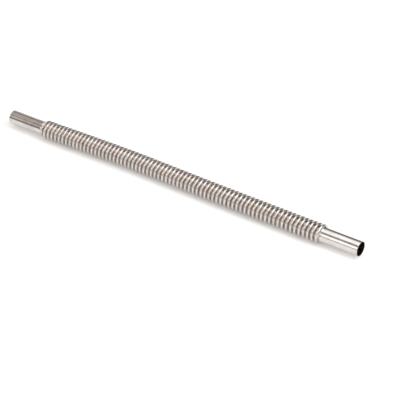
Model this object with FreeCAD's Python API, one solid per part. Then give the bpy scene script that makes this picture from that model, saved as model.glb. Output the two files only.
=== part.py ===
import FreeCAD, Part
import math
import os

# Flexible metal tubing: one thin steel tube with plain ends, its middle formed
# into a single-start helical corrugation. It lies along X, on z = 0.
# All lengths are in millimetres, all angles in degrees.

LENGTH = 457.2          # end to end
TAIL_OD = 15.88         # plain ends, outside
WALL = 0.30             # wall, the same all along
CREST_OD = 21.26        # over the crest of the corrugation
ROOT_OD = 13.48         # at the bottom of its groove, outside
PITCH = 5.105           # advance of the corrugation in one turn
CREST_R = 1.30          # outside radius over the crest
ROOT_R = 0.60           # outside radius in the groove
CREST_AT = 53.72        # distance from the far end to the first full crest, on the line at CREST_ANGLE
CREST_ANGLE = 128.0     # that line, counted from the underside up over the -Y side

# where the corrugation runs out into the plain ends, as distances from the far end
FAR_TAIL = 45.2         # the far plain end stops, the corrugation starts to rise
FAR_FULL = 50.8         # the corrugation has its full depth
NEAR_FULL = 411.6       # its groove starts to fade
NEAR_FADED = 415.0      # and is gone
NEAR_SHOULDER = 412.7   # its crests start to fall to the plain end
NEAR_TAIL_AT = 415.1    # the near plain end starts
RIM_R = 0.08            # deburred edges of both ends

# The tube is slightly bowed, flat on what it lies on. These are the control
# points (x, y) of its centre line; the two plain ends are on one line, y = 0.
ROUTE = [
    (-228.6, 0.0), (-206.0, 0.0), (-184.5, 0.0), (-177.95, 0.0), (-172.84, 0.0445),
    (-167.74, 0.1336), (-162.63, 0.2673), (-137.12, 1.1492), (-106.5, 1.9349),
    (-75.88, 2.4855), (-65.67, 2.58), (-55.46, 2.5853), (-45.25, 2.5002), (-35.04, 2.3445),
    (-14.62, 1.9716), (5.79, 1.5407), (46.63, 0.8383), (77.25, 0.5612), (153.83, 0.0996),
    (179.35, 0.0), (190.5, 0.0), (209.0, 0.0), (228.6, 0.0),
]

TAIL_R = TAIL_OD / 2.0
CREST_OUT = CREST_OD / 2.0
ROOT_OUT = ROOT_OD / 2.0
LEAD = PITCH / (2.0 * math.pi)     # advance per radian
TURN = 2.0 * math.pi


# ---------------------------------------------------------------- centre line
def sampled_line():
    """The centre line, a quadratic B-spline through ROUTE's control polygon, as close points."""
    n = len(ROUTE)
    knots = [0.0, 0.0] + [float(i) for i in range(n - 1)] + [n - 2.0, n - 2.0]
    points = []
    steps = 240
    for span in range(n - 2):
        for k in range(steps + (1 if span == n - 3 else 0)):
            t = span + k / steps
            a = [ROUTE[span], ROUTE[span + 1], ROUTE[span + 2]]
            kn = knots[span + 1:span + 5]
            f1 = (t - kn[0]) / (kn[2] - kn[0])
            f2 = (t - kn[1]) / (kn[3] - kn[1])
            q1 = [a[0][c] + (a[1][c] - a[0][c]) * f1 for c in (0, 1)]
            q2 = [a[1][c] + (a[2][c] - a[1][c]) * f2 for c in (0, 1)]
            f = (t - kn[1]) / (kn[2] - kn[1])
            points.append((q1[0] + (q2[0] - q1[0]) * f, q1[1] + (q2[1] - q1[1]) * f,
                           math.atan2(q2[1] - q1[1], q2[0] - q1[0])))
    return points


LINE = sampled_line()
DIST = [0.0]
for p, q in zip(LINE[:-1], LINE[1:]):
    DIST.append(DIST[-1] + math.hypot(q[0] - p[0], q[1] - p[1]))
TOTAL = DIST[-1]


def placed(d, side, up):
    """A point beside the centre line: d along it, side to its left, up above it."""
    lo, hi = 0, len(DIST) - 1
    while hi - lo > 1:
        m = (lo + hi) // 2
        if DIST[m] <= d:
            lo = m
        else:
            hi = m
    f = (d - DIST[lo]) / (DIST[hi] - DIST[lo])
    p, q = LINE[lo], LINE[hi]
    x, y, h = (p[c] + (q[c] - p[c]) * f for c in (0, 1, 2))
    return FreeCAD.Vector(x - side * math.sin(h), y + side * math.cos(h), up)


# ---------------------------------------------------------------- the corrugation's profile
def lean():
    """Angle between the flank's normal and the radial direction."""
    dx, dr = PITCH / 2.0, (ROOT_OUT + ROOT_R) - (CREST_OUT - CREST_R)
    return math.asin((CREST_R + ROOT_R) / math.hypot(dx, dr)) - math.atan2(dr, dx)


ALPHA = lean()


def profile(u, off):
    """Radius of one surface of the wall; u = 0 is a crest, off moves into the wall."""
    u = abs((u + PITCH / 2.0) % PITCH - PITCH / 2.0)
    rc, rv = CREST_R - off, ROOT_R + off
    c, v = CREST_OUT - CREST_R, ROOT_OUT + ROOT_R
    uc, uv = rc * math.sin(ALPHA), PITCH / 2.0 - rv * math.sin(ALPHA)
    if u <= uc:
        return c + math.sqrt(rc * rc - u * u)
    if u >= uv:
        w = PITCH / 2.0 - u
        return v - math.sqrt(rv * rv - w * w)
    a, b = c + rc * math.cos(ALPHA), v - rv * math.cos(ALPHA)
    return a + (b - a) * (u - uc) / (uv - uc)


def profile_points(off):
    """One pitch from crest to crest: parameters (length along the profile) and points (u, radius)."""
    rc, rv = CREST_R - off, ROOT_R + off
    c, v = CREST_OUT - CREST_R, ROOT_OUT + ROOT_R
    half = []
    for k in range(5):
        a = ALPHA * k / 4.0
        half.append((rc * a, rc * math.sin(a), c + rc * math.cos(a)))
    start = (PITCH / 2.0 - rv * math.sin(ALPHA), v - rv * math.cos(ALPHA))
    flank = math.hypot(start[0] - half[-1][1], start[1] - half[-1][2])
    s0 = half[-1][0] + flank
    half.insert(5, (half[-1][0] + flank / 2, (half[-1][1] + start[0]) / 2, (half[-1][2] + start[1]) / 2))
    for k in range(5):
        a = ALPHA * (1 - k / 4.0)
        half.append((s0 + rv * ALPHA * k / 4.0, PITCH / 2.0 - rv * math.sin(a), v - rv * math.cos(a)))
    length = half[-1][0] * 2
    back = [(length - s, PITCH - u, r) for s, u, r in reversed(half[:-1])]
    row = half + back
    return [p[0] for p in row], [(p[1], p[2]) for p in row]


# ---------------------------------------------------------------- cubic splines
# (every face goes half round, so that no face has one corner twice)
def spline_poles(t, values, first, last):
    """Poles of the cubic spline with knots t through values (tuples), with end slopes first and last."""
    n, dim = len(t) - 1, len(values[0])
    poles = [None] * (n + 3)
    poles[0], poles[n + 2] = list(values[0]), list(values[n])
    poles[1] = [values[0][c] + first[c] * (t[1] - t[0]) / 3.0 for c in range(dim)]
    poles[n + 1] = [values[n][c] - last[c] * (t[n] - t[n - 1]) / 3.0 for c in range(dim)]
    if n < 2:
        return poles

    def kn(i):
        return t[min(max(i, 0), n)]

    low, mid, high, right = [], [], [], []
    for i in range(1, n):
        a = (kn(i + 1) - kn(i)) ** 2 / ((kn(i + 1) - kn(i - 1)) * (kn(i + 1) - kn(i - 2)))
        b = (kn(i) - kn(i - 1)) ** 2 / ((kn(i + 1) - kn(i - 1)) * (kn(i + 2) - kn(i - 1)))
        low.append(a)
        high.append(b)
        mid.append(1.0 - a - b)
        right.append(list(values[i]))
    for c in range(dim):
        right[0][c] -= low[0] * poles[1][c]
        right[-1][c] -= high[-1] * poles[n + 1][c]
    for i in range(1, n - 1):
        f = low[i] / mid[i - 1]
        mid[i] -= f * high[i - 1]
        for c in range(dim):
            right[i][c] -= f * right[i - 1][c]
    for i in range(n - 2, -1, -1):
        for c in range(dim):
            if i < n - 2:
                right[i][c] -= high[i] * right[i + 1][c]
            right[i][c] /= mid[i]
    poles[2:n + 1] = right
    return poles


def surface(poles, us, vs):
    s = Part.BSplineSurface()
    s.buildFromPolesMultsKnots(
        poles, [4] + [1] * (len(us) - 2) + [4], [4] + [1] * (len(vs) - 2) + [4], us, vs, False, False, 3, 3)
    return s


def around(half, count=8):
    """Knots and poles (angle, cosine, sine) of half a turn: 0 is the -Y side, 1 the other."""
    vs = [math.pi * (half + k / count) for k in range(count + 1)]
    rows = [(v, math.cos(v), math.sin(v)) for v in vs]
    slope = -1.0 if half else 1.0
    return vs, spline_poles(vs, rows, (1.0, 0.0, slope), (1.0, 0.0, -slope))


# ---- half a turn of the corrugation, from crest to crest
def turn_face(start, off, half):
    us, points = profile_points(off)
    across = spline_poles(us, points, (1.0, 0.0), (1.0, 0.0))
    vs, ring = around(half)
    poles = [[placed(start + u + LEAD * v, -r * s, -r * c) for v, c, s in ring] for u, r in across]
    return surface(poles, us, vs).toShape()


# ---- where the corrugation runs out
def eased(t):
    t = min(max(t, 0.0), 1.0)
    return t * t * (3.0 - 2.0 * t)


def run_out(d):
    """How much is left of the crests' height over the plain ends, and of the groove's depth."""
    if d < LENGTH / 2:
        t = eased((d - FAR_TAIL) / (FAR_FULL - FAR_TAIL))
        return t, t
    return (eased((NEAR_TAIL_AT - d) / (NEAR_TAIL_AT - NEAR_SHOULDER)),
            eased((NEAR_FADED - d) / (NEAR_FADED - NEAR_FULL)))


def radius(d, v, off):
    tail, top = TAIL_R - off, CREST_OUT - off
    height, depth = run_out(d)
    return tail + height * (top - tail) - depth * (top - profile(d - LEAD * v - PHASE, off))


def refined(ks, count):
    """Knots with each gap between them divided."""
    row = [k0 + (k1 - k0) * i / count for k0, k1 in zip(ks[:-1], ks[1:]) for i in range(count)]
    return row + [ks[-1]]


def curve(poles, ks):
    c = Part.BSplineCurve()
    c.buildFromPolesMultsKnots(poles, [4] + [1] * (len(ks) - 2) + [4], ks, False, 3)
    return c


def patch(us, vs, point, along_u, along_v):
    """The spline surface through point(u, v), with the slopes given at its four sides."""
    ends_u, ends_v = (us[0], us[-1]), (vs[0], vs[-1])
    rows = [spline_poles(us, [tuple(point(u, v)) for u in us], *[tuple(along_u(u, v)) for u in ends_u]) for v in vs]
    flat = (0.0, 0.0, 0.0)
    sides = [spline_poles(us, [tuple(along_v(u, v)) for u in us], flat, flat) for v in ends_v]
    poles = []
    for i in range(len(us) + 2):
        row = spline_poles(vs, [tuple(r[i]) for r in rows], tuple(sides[0][i]), tuple(sides[1][i]))
        poles.append([FreeCAD.Vector(*p) for p in row])
    return surface(poles, us, vs).toShape()


def skin(d, v, off):
    """A point of the wall's surface."""
    r = radius(d, v, off)
    return placed(d, -r * math.sin(v), -r * math.cos(v))


def slope(f, t, e=1e-5):
    return (f(t + e) - f(t - e)) * (0.5 / e)


def run_out_face(d0, d1, off, half):
    """The wall's surface from d0 to d1, half round."""
    n = int(math.ceil((d1 - d0) / 0.15))
    ds = [d0 + (d1 - d0) * k / n for k in range(n + 1)]
    return patch(ds, refined(around(half)[0], 6), lambda d, v: skin(d, v, off),
                 lambda d, v: slope(lambda t: skin(t, v, off), d), lambda d, v: slope(lambda t: skin(d, t, off), v))


def wedge_face(start, off, far, half):
    """Between the last whole turn, whose crest runs from start one pitch on, and a cross-section, half round."""
    us, points = profile_points(off)
    across = spline_poles(us, points, (1.0, 0.0), (1.0, 0.0))
    knots, ring = around(half)
    place = curve([FreeCAD.Vector(u, r, 0) for u, r in across], us)
    line = curve([placed(start + u, 0.0, -r) for u, r in across], us)
    r = CREST_OUT - off
    crest = curve([placed(start + LEAD * v, -r * sn, -r * c) for v, c, sn in ring], knots)
    line_v, crest_u = (TURN, us[-1]) if far else (0.0, us[0])

    def inside(u, v):
        w = place.value(min(max(u, us[0]), us[-1])).x
        d = start + w * v / TURN if far else start + LEAD * v + w * (1.0 - v / TURN)
        q = profile(d - LEAD * v - PHASE, off)
        return placed(d, -q * math.sin(v), -q * math.cos(v))

    def point(u, v):
        if v == line_v:
            return line.value(u)
        if u == crest_u:
            return crest.value(v)
        return inside(u, v)

    def along_u(u, v):
        if v == line_v:
            return line.getD1(u)[1]
        e = 1e-4 if u == us[0] else -1e-4
        return (inside(u + e, v) - inside(u, v)) * (1.0 / e)

    def along_v(u, v):
        if u == crest_u:
            return crest.getD1(v)[1]
        if u in (us[0], us[-1]):
            d = start if far else start + PITCH
            return slope(lambda t: skin(d, t, off), v)
        return slope(lambda t: inside(u, t), v)

    return patch(refined(us, 3), refined(knots, 6), point, along_u, along_v)


def end_shell(start, stop):
    """A plain end: outside, rounded edges, face and inside, from its face at start to stop."""
    way = 1.0 if stop > start else -1.0
    m = RIM_R * (1.0 - math.sqrt(0.5))
    out, inn = TAIL_R, TAIL_R - WALL

    def at(d, r):
        return FreeCAD.Vector(-LENGTH / 2 + d, 0.0, -r)

    pts = [at(stop, out), at(start + way * RIM_R, out), at(start + way * m, out - m), at(start, out - RIM_R),
           at(start, inn + RIM_R), at(start + way * m, inn + m), at(start + way * RIM_R, inn), at(stop, inn)]
    wire = Part.Wire([
        Part.LineSegment(pts[0], pts[1]).toShape(), Part.Arc(pts[1], pts[2], pts[3]).toShape(),
        Part.LineSegment(pts[3], pts[4]).toShape(), Part.Arc(pts[4], pts[5], pts[6]).toShape(),
        Part.LineSegment(pts[6], pts[7]).toShape(),
    ])
    axis = (FreeCAD.Vector(0, 0, 0), FreeCAD.Vector(1, 0, 0))
    return wire.revolve(*axis, -180).Faces + wire.revolve(*axis, 180).Faces


PHASE = CREST_AT - PITCH * CREST_ANGLE / 360.0     # a crest's distance, on the underside
first = PHASE
while first - PITCH >= FAR_FULL:
    first -= PITCH
while first < FAR_FULL:
    first += PITCH
turns = int((NEAR_FULL - first) / PITCH) - 1
last = first + turns * PITCH                        # the last turn ends one pitch further
more = TOTAL - LENGTH                               # by how much the line is longer than its chord

faces = []
for off in (0.0, WALL):
    for half in (0, 1):
        for k in range(turns):
            faces.append(turn_face(first + k * PITCH, off, half))
        faces.append(run_out_face(FAR_TAIL, first, off, half))
        faces.append(wedge_face(first, off, True, half))
        faces.append(wedge_face(last, off, False, half))
        faces.append(run_out_face(last + PITCH, NEAR_TAIL_AT, off, half))
faces += end_shell(0.0, FAR_TAIL)
faces += end_shell(LENGTH, NEAR_TAIL_AT - more)
print("faces", len(faces), "turns", turns, "first", round(first, 3), "line longer by", round(more, 4))

sewn = Part.makeShell(faces)
sewn.sewShape(0.03)
print("sewn", sewn.ShapeType, "closed", [s.isClosed() for s in sewn.Shells], "tolerance", sewn.getTolerance(1))
tube = Part.makeSolid(sewn.Shells[0] if sewn.ShapeType != "Shell" else sewn)
if tube.Volume < 0:
    tube.reverse()

# ---- the frame: origin below the middle of the box, on the surface it lies on
box = tube.optimalBoundingBox(True, False)
shift = FreeCAD.Vector(-(box.XMin + box.XMax) / 2.0, -(box.YMin + box.YMax) / 2.0, CREST_OUT)
tube.translate(shift)

os.makedirs("parts", exist_ok=True)
tube.exportStep("parts/corrugated_tube.step")

print("solids", len(tube.Solids), "valid", tube.isValid(), "faces", len(tube.Faces), "volume", round(tube.Volume, 3))
print("axis of the plain ends at y", round(shift.y, 4), "z", round(shift.z, 4), "x shift", round(shift.x, 4))
box = tube.optimalBoundingBox(True, False)
print("box", [round(v, 4) for v in (box.XMin, box.YMin, box.ZMin, box.XMax, box.YMax, box.ZMax)])
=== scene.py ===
import bpy
import math
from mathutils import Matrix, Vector


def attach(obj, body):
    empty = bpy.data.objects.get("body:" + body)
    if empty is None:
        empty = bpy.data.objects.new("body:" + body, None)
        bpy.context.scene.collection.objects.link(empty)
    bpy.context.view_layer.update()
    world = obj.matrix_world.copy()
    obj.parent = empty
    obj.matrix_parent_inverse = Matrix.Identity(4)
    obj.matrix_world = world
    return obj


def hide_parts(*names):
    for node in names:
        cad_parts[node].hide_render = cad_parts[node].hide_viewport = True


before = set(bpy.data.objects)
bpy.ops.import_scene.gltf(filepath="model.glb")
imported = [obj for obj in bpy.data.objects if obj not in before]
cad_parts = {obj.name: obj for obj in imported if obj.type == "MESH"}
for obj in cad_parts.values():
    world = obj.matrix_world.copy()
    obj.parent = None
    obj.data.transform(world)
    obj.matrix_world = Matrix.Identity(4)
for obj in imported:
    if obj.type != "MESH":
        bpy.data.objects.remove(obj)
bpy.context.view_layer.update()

# Flexible metal tubing, lying on a pale floor. Metres, Z up, the tube along X.
MM = 0.001

# ---------------------------------------------------------------- sizes (mm)
LENGTH = 457.2
TAIL_R = 7.94
WALL = 0.30
CREST_OUT = 10.63
ROOT_OUT = 6.74
PITCH = 5.105
CREST_R = 1.30
ROOT_R = 0.60
CREST_AT = 53.72
CREST_ANGLE = 128.0
FAR_TAIL = 45.2
FAR_FULL = 50.8
NEAR_FULL = 411.6
NEAR_FADED = 415.0
NEAR_SHOULDER = 412.7
NEAR_TAIL_AT = 415.1
RIM_R = 0.08
AXIS_Z = 10.63
AXIS_Y = -1.2927
PHASE = CREST_AT - PITCH * CREST_ANGLE / 360.0
LEAD = PITCH / (2.0 * math.pi)

# the control points of the centre line, beside the line of the plain ends
ROUTE = [
    (-228.6, 0.0), (-206.0, 0.0), (-184.5, 0.0), (-177.95, 0.0), (-172.84, 0.0445),
    (-167.74, 0.1336), (-162.63, 0.2673), (-137.12, 1.1492), (-106.5, 1.9349),
    (-75.88, 2.4855), (-65.67, 2.58), (-55.46, 2.5853), (-45.25, 2.5002), (-35.04, 2.3445),
    (-14.62, 1.9716), (5.79, 1.5407), (46.63, 0.8383), (77.25, 0.5612), (153.83, 0.0996),
    (179.35, 0.0), (190.5, 0.0), (209.0, 0.0), (228.6, 0.0),
]

# ---------------------------------------------------------------- the camera
cam_data = bpy.data.cameras.new("camera")
cam_data.sensor_width = 36.0
cam_data.lens = 140.467
cam_data.clip_start = 0.05
cam_data.clip_end = 50.0
cam = bpy.data.objects.new("camera", cam_data)
bpy.context.scene.collection.objects.link(cam)
cam.location = (0.845018, -1.135172 + AXIS_Y * MM, 0.886006)
cam.rotation_euler = (math.radians(90.0 - 32.53141), 0.0, math.radians(35.61177))
bpy.context.scene.camera = cam


# ---------------------------------------------------------------- centre line
def centre_line():
    """The route as one smooth open spline, read back as points, in metres."""
    curve = bpy.data.curves.new("centre_line", "CURVE")
    curve.dimensions = "3D"
    curve.resolution_u = 16
    spline = curve.splines.new("NURBS")
    spline.points.add(len(ROUTE) - 1)
    for p, (x, y) in zip(spline.points, ROUTE):
        p.co = (x * MM, (y + AXIS_Y) * MM, AXIS_Z * MM, 1.0)
    spline.order_u = 3
    spline.use_endpoint_u = True
    holder = bpy.data.objects.new("centre_line", curve)
    mesh = bpy.data.meshes.new_from_object(holder)
    points = [v.co.copy() for v in mesh.vertices]
    bpy.data.meshes.remove(mesh)
    bpy.data.objects.remove(holder)
    bpy.data.curves.remove(curve)
    return points


LINE = centre_line()
STEPS = [0.0]
for a, b in zip(LINE[:-1], LINE[1:]):
    STEPS.append(STEPS[-1] + (b - a).length)
LINE_LENGTH = STEPS[-1]


def at(distance):
    """The centre line's point and direction at a distance from the far end."""
    d = min(max(distance, 0.0), LINE_LENGTH)
    lo, hi = 0, len(STEPS) - 1
    while hi - lo > 1:
        m = (lo + hi) // 2
        if STEPS[m] <= d:
            lo = m
        else:
            hi = m
    span = STEPS[hi] - STEPS[lo]
    f = (d - STEPS[lo]) / span if span else 0.0
    p = LINE[lo].lerp(LINE[hi], f)

    def way(i):
        return (LINE[min(i + 1, len(LINE) - 1)] - LINE[max(i - 1, 0)]).normalized()

    return p, way(lo).lerp(way(hi), f).normalized()


TOTAL = LINE_LENGTH / MM


# ---------------------------------------------------------------- the corrugation
def lean():
    """Angle between the flank's normal and the radial direction."""
    dx, dr = PITCH / 2.0, (ROOT_OUT + ROOT_R) - (CREST_OUT - CREST_R)
    return math.asin((CREST_R + ROOT_R) / math.hypot(dx, dr)) - math.atan2(dr, dx)


ALPHA = lean()


def profile(u, off):
    """Radius of one surface of the wall; u = 0 is a crest, off moves into the wall."""
    u = abs((u + PITCH / 2.0) % PITCH - PITCH / 2.0)
    rc, rv = CREST_R - off, ROOT_R + off
    c, v = CREST_OUT - CREST_R, ROOT_OUT + ROOT_R
    uc, uv = rc * math.sin(ALPHA), PITCH / 2.0 - rv * math.sin(ALPHA)
    if u <= uc:
        return c + math.sqrt(rc * rc - u * u)
    if u >= uv:
        w = PITCH / 2.0 - u
        return v - math.sqrt(rv * rv - w * w)
    a, b = c + rc * math.cos(ALPHA), v - rv * math.cos(ALPHA)
    return a + (b - a) * (u - uc) / (uv - uc)


def eased(t):
    t = min(max(t, 0.0), 1.0)
    return t * t * (3.0 - 2.0 * t)


def run_out(d):
    """How much is left of the crests' height over the plain ends, and of the groove's depth."""
    if d < LENGTH / 2:
        t = eased((d - FAR_TAIL) / (FAR_FULL - FAR_TAIL))
        return t, t
    return (eased((NEAR_TAIL_AT - d) / (NEAR_TAIL_AT - NEAR_SHOULDER)),
            eased((NEAR_FADED - d) / (NEAR_FADED - NEAR_FULL)))


def radius(d, v, off):
    """v is the angle from the underside up over the front."""
    tail, top = TAIL_R - off, CREST_OUT - off
    height, depth = run_out(d)
    return tail + height * (top - tail) - depth * (top - profile(d - LEAD * v - PHASE, off))


def places(off, crest_steps, root_steps):
    """Where the points of one pitch are, from crest to crest."""
    rc, rv = CREST_R - off, ROOT_R + off
    half = [rc * math.sin(ALPHA * k / crest_steps) for k in range(crest_steps + 1)]
    half += [PITCH / 2.0 - rv * math.sin(ALPHA * (1.0 - k / root_steps)) for k in range(root_steps + 1)]
    return half + [PITCH - u for u in reversed(half[1:-1])]


def build_tube(name, around_out, around_in):
    verts, normals, coords, faces = [], [], [], []

    def frame_at(d):
        centre, way = at(d * MM)
        if d < 0 or d > TOTAL:
            centre = centre + way * ((d if d < 0 else d - TOTAL) * MM)
        return centre, way, Vector((-way.y, way.x, 0.0)).normalized()

    def put(d, v, r, n_along, n_out, n_round):
        centre, way, side = frame_at(d)
        out = Vector((-side.x * math.sin(v), -side.y * math.sin(v), -math.cos(v)))
        tang = Vector((-side.x * math.cos(v), -side.y * math.cos(v), math.sin(v)))
        verts.append(centre + out * (r * MM))
        normals.append((way * n_along + out * n_out + tang * n_round).normalized())
        coords.append((d * MM, v / (2 * math.pi)))
        return len(verts) - 1

    def ring(d, r, n_along, n_out, around):
        return [put(d, 2 * math.pi * k / around, r, n_along, n_out, 0.0) for k in range(around)]

    def bridge(a, b):
        n, m = len(a), len(b)
        for k in range(min(n, m)):
            k2 = (k + 1) % min(n, m)
            if n == m:
                faces.append((a[k], b[k], b[k2], a[k2]))
            elif n < m:
                p, q, s = b[2 * k], b[2 * k + 1], b[(2 * k + 2) % m]
                faces.extend(((a[k], p, q), (a[k], q, a[k2]), (a[k2], q, s)))
            else:
                p, q, s = a[2 * k], a[2 * k + 1], a[(2 * k + 2) % n]
                faces.extend(((b[k], q, p), (b[k], b[k2], q), (b[k2], s, q)))

    def corrugated(off, around, us, far_ring, near_ring, turn_over):
        """The part between two plain rings; its rows of points run along the helix."""
        n = len(us)
        first = math.ceil((FAR_TAIL - 2.2 * PITCH - PHASE) / PITCH)
        final = math.ceil((NEAR_TAIL_AT + 0.1 - PHASE) / PITCH)
        rows = (final - first) * n
        side = -1.0 if turn_over else 1.0
        new = []

        def point(m, j):
            d = PHASE + (first + m // n) * PITCH + us[m % n] + LEAD * 2 * math.pi * j / around
            v = 2 * math.pi * j / around
            e = 1e-4
            r = radius(d, v, off)
            along = (radius(d + e, v, off) - radius(d - e, v, off)) / (2 * e)
            about = (radius(d, v + e, off) - radius(d, v - e, off)) / (2 * e) / r
            return put(d, v, r, -along * side, side, -about * side)

        grid = [[point(m, j) for j in range(around)] for m in range(rows + 1)]
        column = [row[0] for row in grid] + [point(rows + 1 + i, 0) for i in range(n)]
        last = around - 1
        for m in range(rows):
            for j in range(last):
                new.append((grid[m][j], grid[m + 1][j], grid[m + 1][j + 1], grid[m][j + 1]))
            new.append((grid[m][last], grid[m + 1][last], column[m + 1 + n], column[m + n]))
        low, high = grid[0], grid[rows]
        for j in range(last):
            new.append((far_ring[j], low[j], low[j + 1], far_ring[j + 1]))
        for i in range(n):
            new.append((low[last], column[i + 1], column[i]))
        new.append((low[last], column[0], far_ring[0]))
        new.append((far_ring[last], low[last], far_ring[0]))
        for j in range(1, around):
            new.append((high[j], near_ring[j], near_ring[(j + 1) % around],
                        high[j + 1] if j < last else column[rows + n]))
        for i in range(n):
            new.append((column[rows + i], column[rows + i + 1], high[1]))
        new.append((column[rows + n], near_ring[0], high[1]))
        new.append((near_ring[0], near_ring[1], high[1]))
        faces.extend(f[::-1] if turn_over else f for f in new)

    def plain(d0, d1, r, n_out, step, around):
        steps = max(1, round(abs(d1 - d0) / step))
        return [ring(d0 + (d1 - d0) * k / steps, r, 0.0, n_out, around) for k in range(steps + 1)]

    def lip(face, sign):
        """The rounded edge of a plain end, from the outside round to the inside."""
        rings = []
        for k in (1, 2):
            a = math.radians(90 - 45 * k)
            rings.append(ring(face - sign * RIM_R * (1 - math.cos(a)), TAIL_R - RIM_R + RIM_R * math.sin(a),
                              sign * math.cos(a), math.sin(a), around_out))
        for k in (0, 1):
            a = math.radians(45 * k)
            rings.append(ring(face - sign * RIM_R * (1 - math.cos(a)), TAIL_R - WALL + RIM_R - RIM_R * math.sin(a),
                              sign * math.cos(a), -math.sin(a), around_out))
        return rings

    start = PHASE + math.ceil((FAR_TAIL - 2.2 * PITCH - PHASE) / PITCH) * PITCH - 0.8
    stop = PHASE + math.ceil((NEAR_TAIL_AT + 0.1 - PHASE) / PITCH) * PITCH + PITCH + 0.8
    r_in = TAIL_R - WALL
    far_out = plain(RIM_R, start, TAIL_R, 1.0, 2.5, around_out)
    near_out = plain(stop, TOTAL - RIM_R, TAIL_R, 1.0, 2.5, around_out)
    corrugated(0.0, around_out, places(0.0, 5, 2), far_out[-1], near_out[0], False)
    near_in = plain(TOTAL - RIM_R, stop + 1.0, r_in, -1.0, 6.0, around_out) + [ring(stop, r_in, 0.0, -1.0, around_in)]
    far_in = [ring(start, r_in, 0.0, -1.0, around_in)] + plain(start - 1.0, RIM_R, r_in, -1.0, 6.0, around_out)
    corrugated(WALL, around_in, places(WALL, 2, 2), far_in[0], near_in[-1], True)
    chains = (
        far_out, near_out, [near_out[-1]] + lip(TOTAL, 1.0) + near_in,
        far_in + lip(0.0, -1.0)[::-1] + [far_out[0]],
    )
    for chain in chains:
        for r1, r2 in zip(chain[:-1], chain[1:]):
            bridge(r1, r2)

    mesh = bpy.data.meshes.new(name)
    mesh.from_pydata([tuple(v) for v in verts], [], faces)
    mesh.polygons.foreach_set("use_smooth", [True] * len(mesh.polygons))
    uv = mesh.uv_layers.new(name="along_and_around")
    for poly in mesh.polygons:
        ks = [coords[mesh.loops[i].vertex_index][1] for i in poly.loop_indices]
        wrap = max(ks) - min(ks) > 0.5
        for i, k in zip(poly.loop_indices, ks):
            v = coords[mesh.loops[i].vertex_index]
            uv.data[i].uv = (v[0], k + 1.0 if wrap and k < 0.5 else k)
    mesh.validate()
    mesh.update()
    mesh.normals_split_custom_set_from_vertices([tuple(n) for n in normals])
    obj = bpy.data.objects.new(name, mesh)
    bpy.context.scene.collection.objects.link(obj)
    return obj


tube = build_tube("corrugated_tube_visual", 56, 28)
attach(tube, "root")
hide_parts("corrugated_tube")


# ---------------------------------------------------------------- materials
def nodes_of(name):
    mat = bpy.data.materials.new(name)
    mat.use_nodes = True
    tree = mat.node_tree
    tree.nodes.clear()
    return mat, tree


def node(tree, kind, **values):
    n = tree.nodes.new(kind)
    for key, value in values.items():
        if hasattr(n, key):
            setattr(n, key, value)
        else:
            n.inputs[key].default_value = value
    return n


def steel():
    """Bright drawn stainless steel: faint draw lines, slightly uneven shine."""
    mat, tree = nodes_of("drawn_steel")
    link = tree.links.new
    out = node(tree, "ShaderNodeOutputMaterial")
    bsdf = node(tree, "ShaderNodeBsdfPrincipled")
    bsdf.inputs["Metallic"].default_value = 1.0
    link(bsdf.outputs[0], out.inputs["Surface"])
    uv = node(tree, "ShaderNodeUVMap", uv_map="along_and_around")
    lines = node(tree, "ShaderNodeMapping")
    lines.inputs["Scale"].default_value = (18.0, 130.0, 1.0)
    link(uv.outputs[0], lines.inputs["Vector"])
    draw = node(tree, "ShaderNodeTexNoise")
    draw.inputs["Scale"].default_value = 1.0
    draw.inputs["Detail"].default_value = 3.0
    link(lines.outputs[0], draw.inputs["Vector"])
    place = node(tree, "ShaderNodeTexCoord")
    cloud = node(tree, "ShaderNodeTexNoise")
    cloud.inputs["Scale"].default_value = 160.0
    cloud.inputs["Detail"].default_value = 2.0
    link(place.outputs["Object"], cloud.inputs["Vector"])
    tint = node(tree, "ShaderNodeValToRGB")
    tint.color_ramp.elements[0].position = 0.3
    tint.color_ramp.elements[0].color = (0.578, 0.532, 0.506, 1.0)
    tint.color_ramp.elements[1].position = 0.7
    tint.color_ramp.elements[1].color = (0.675, 0.637, 0.611, 1.0)
    link(cloud.outputs["Fac"], tint.inputs["Fac"])
    link(tint.outputs["Color"], bsdf.inputs["Base Color"])
    rough = node(tree, "ShaderNodeMapRange")
    rough.inputs["From Min"].default_value = 0.3
    rough.inputs["From Max"].default_value = 0.7
    rough.inputs["To Min"].default_value = 0.10
    rough.inputs["To Max"].default_value = 0.20
    link(draw.outputs["Fac"], rough.inputs["Value"])
    link(rough.outputs["Result"], bsdf.inputs["Roughness"])
    bump = node(tree, "ShaderNodeBump")
    bump.inputs["Strength"].default_value = 0.25
    bump.inputs["Distance"].default_value = 0.00002
    link(draw.outputs["Fac"], bump.inputs["Height"])
    link(bump.outputs["Normal"], bsdf.inputs["Normal"])
    return mat


tube.data.materials.append(steel())


def pale_floor():
    mat, tree = nodes_of("pale_floor")
    link = tree.links.new
    out = node(tree, "ShaderNodeOutputMaterial")
    bsdf = node(tree, "ShaderNodeBsdfPrincipled")
    bsdf.inputs["Roughness"].default_value = 0.9
    bsdf.inputs["Emission Color"].default_value = (1.0, 1.0, 1.0, 1.0)
    bsdf.inputs["Emission Strength"].default_value = 0.18
    link(bsdf.outputs[0], out.inputs["Surface"])
    place = node(tree, "ShaderNodeTexCoord")
    cloud = node(tree, "ShaderNodeTexNoise")
    cloud.inputs["Scale"].default_value = 6.0
    link(place.outputs["Object"], cloud.inputs["Vector"])
    tint = node(tree, "ShaderNodeValToRGB")
    tint.color_ramp.elements[0].color = (0.90, 0.90, 0.895, 1.0)
    tint.color_ramp.elements[1].color = (0.93, 0.93, 0.925, 1.0)
    link(cloud.outputs["Fac"], tint.inputs["Fac"])
    link(tint.outputs["Color"], bsdf.inputs["Base Color"])
    return mat


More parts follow.
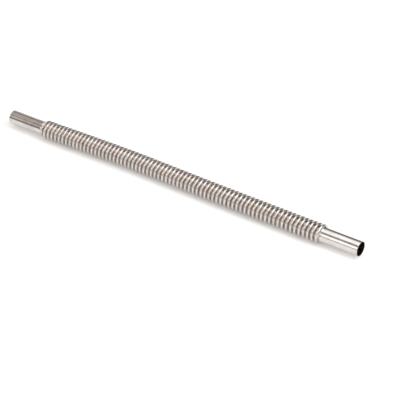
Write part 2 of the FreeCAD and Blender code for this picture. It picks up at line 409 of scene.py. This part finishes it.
# ---------------------------------------------------------------- the stage
def floor():
    size = 4.0
    mesh = bpy.data.meshes.new("floor")
    mesh.from_pydata([(-size, -size, 0), (size, -size, 0), (size, size, 0), (-size, size, 0)], [], [(0, 1, 2, 3)])
    obj = bpy.data.objects.new("floor", mesh)
    bpy.context.scene.collection.objects.link(obj)
    obj.data.materials.append(pale_floor())
    return obj


floor()


# A white light tent, 3.2 m square and 1.3 m high. Its walls are soft panels, each of its own brightness.
TENT_HALF = 1.6
TENT_TOP = 1.3


WARM = (1.0, 0.91, 0.84)     # the panels of the left side are a little warmer


def panel(name, wall, across, along, bright, tint=(1.0, 1.0, 1.0)):
    """One evenly bright panel in a wall: across and along are its ends (x and y, x and z, or y and z)."""
    wide, high = across[1] - across[0], along[1] - along[0]
    a, b = sum(across) / 2, sum(along) / 2
    light = bpy.data.lights.new(name, "AREA")
    light.shape = "RECTANGLE"
    light.size = wide
    light.size_y = high
    light.energy = math.pi * wide * high * bright
    light.color = tint
    obj = bpy.data.objects.new(name, light)
    bpy.context.scene.collection.objects.link(obj)
    place, way = {
        "ceiling": ((a, b, TENT_TOP), (0, 0, -1)),
        "front": ((a, -TENT_HALF, b), (0, 1, 0)),
        "back": ((a, TENT_HALF, b), (0, -1, 0)),
        "left": ((-TENT_HALF, a, b), (1, 0, 0)),
        "right": ((TENT_HALF, a, b), (-1, 0, 0)),
    }[wall]
    obj.location = place
    obj.rotation_mode = "QUATERNION"
    obj.rotation_quaternion = Vector(way).to_track_quat("-Z", "Y")
    obj.visible_camera = False


panel("ceiling_middle", "ceiling", (-0.7, 0.5), (-0.35, 0.8), 1.47)
panel("ceiling_near", "ceiling", (-0.7, 0.5), (-0.7, -0.35), 0.63)
panel("ceiling_right", "ceiling", (0.5, 1.6), (-0.35, 0.8), 2.20)
panel("ceiling_right_front", "ceiling", (0.5, 1.6), (-1.6, -0.35), 1.27)
panel("ceiling_left", "ceiling", (-1.6, -0.7), (-0.7, 0.35), 0.45, WARM)
panel("ceiling_left_back", "ceiling", (-1.6, -0.7), (0.35, 0.8), 0.45, WARM)
panel("ceiling_edge", "ceiling", (-1.6, 0.5), (-1.6, -1.1), 0.63)
panel("ceiling_back", "ceiling", (-1.1, 0.0), (0.8, 1.6), 0.50)
panel("front_high", "front", (-1.1, 0.5), (0.8, 1.3), 1.70)
panel("front_middle", "front", (-1.1, 0.5), (0.4, 0.8), 1.57)
panel("front_low", "front", (-1.1, 0.5), (0.15, 0.4), 0.86)
panel("left_high", "left", (-1.6, 0.3), (0.8, 1.3), 0.80, WARM)
panel("left_front", "left", (-1.6, -0.3), (0.15, 0.8), 1.44, WARM)
panel("left_middle", "left", (-0.3, 0.3), (0.15, 0.8), 1.83, WARM)
panel("left_back", "left", (0.3, 1.6), (0.15, 1.3), 0.29, WARM)
panel("right_high", "right", (-1.6, 0.3), (0.8, 1.3), 2.20)
panel("right_middle", "right", (-1.6, 0.3), (0.4, 0.8), 2.27)
panel("right_low", "right", (-1.6, 0.3), (0.15, 0.4), 0.24)
panel("right_back", "right", (0.3, 1.6), (0.15, 1.3), 0.48)
panel("back_left", "back", (-1.6, -0.7), (0.0, 1.3), 0.52, WARM)

world = bpy.data.worlds.new("studio")
bpy.context.scene.world = world
world.use_nodes = True
background = world.node_tree.nodes["Background"]
background.inputs["Color"].default_value = (0.16, 0.16, 0.16, 1.0)
background.inputs["Strength"].default_value = 1.0

bpy.context.scene.view_settings.view_transform = "Standard"
bpy.context.scene.view_settings.look = "None"
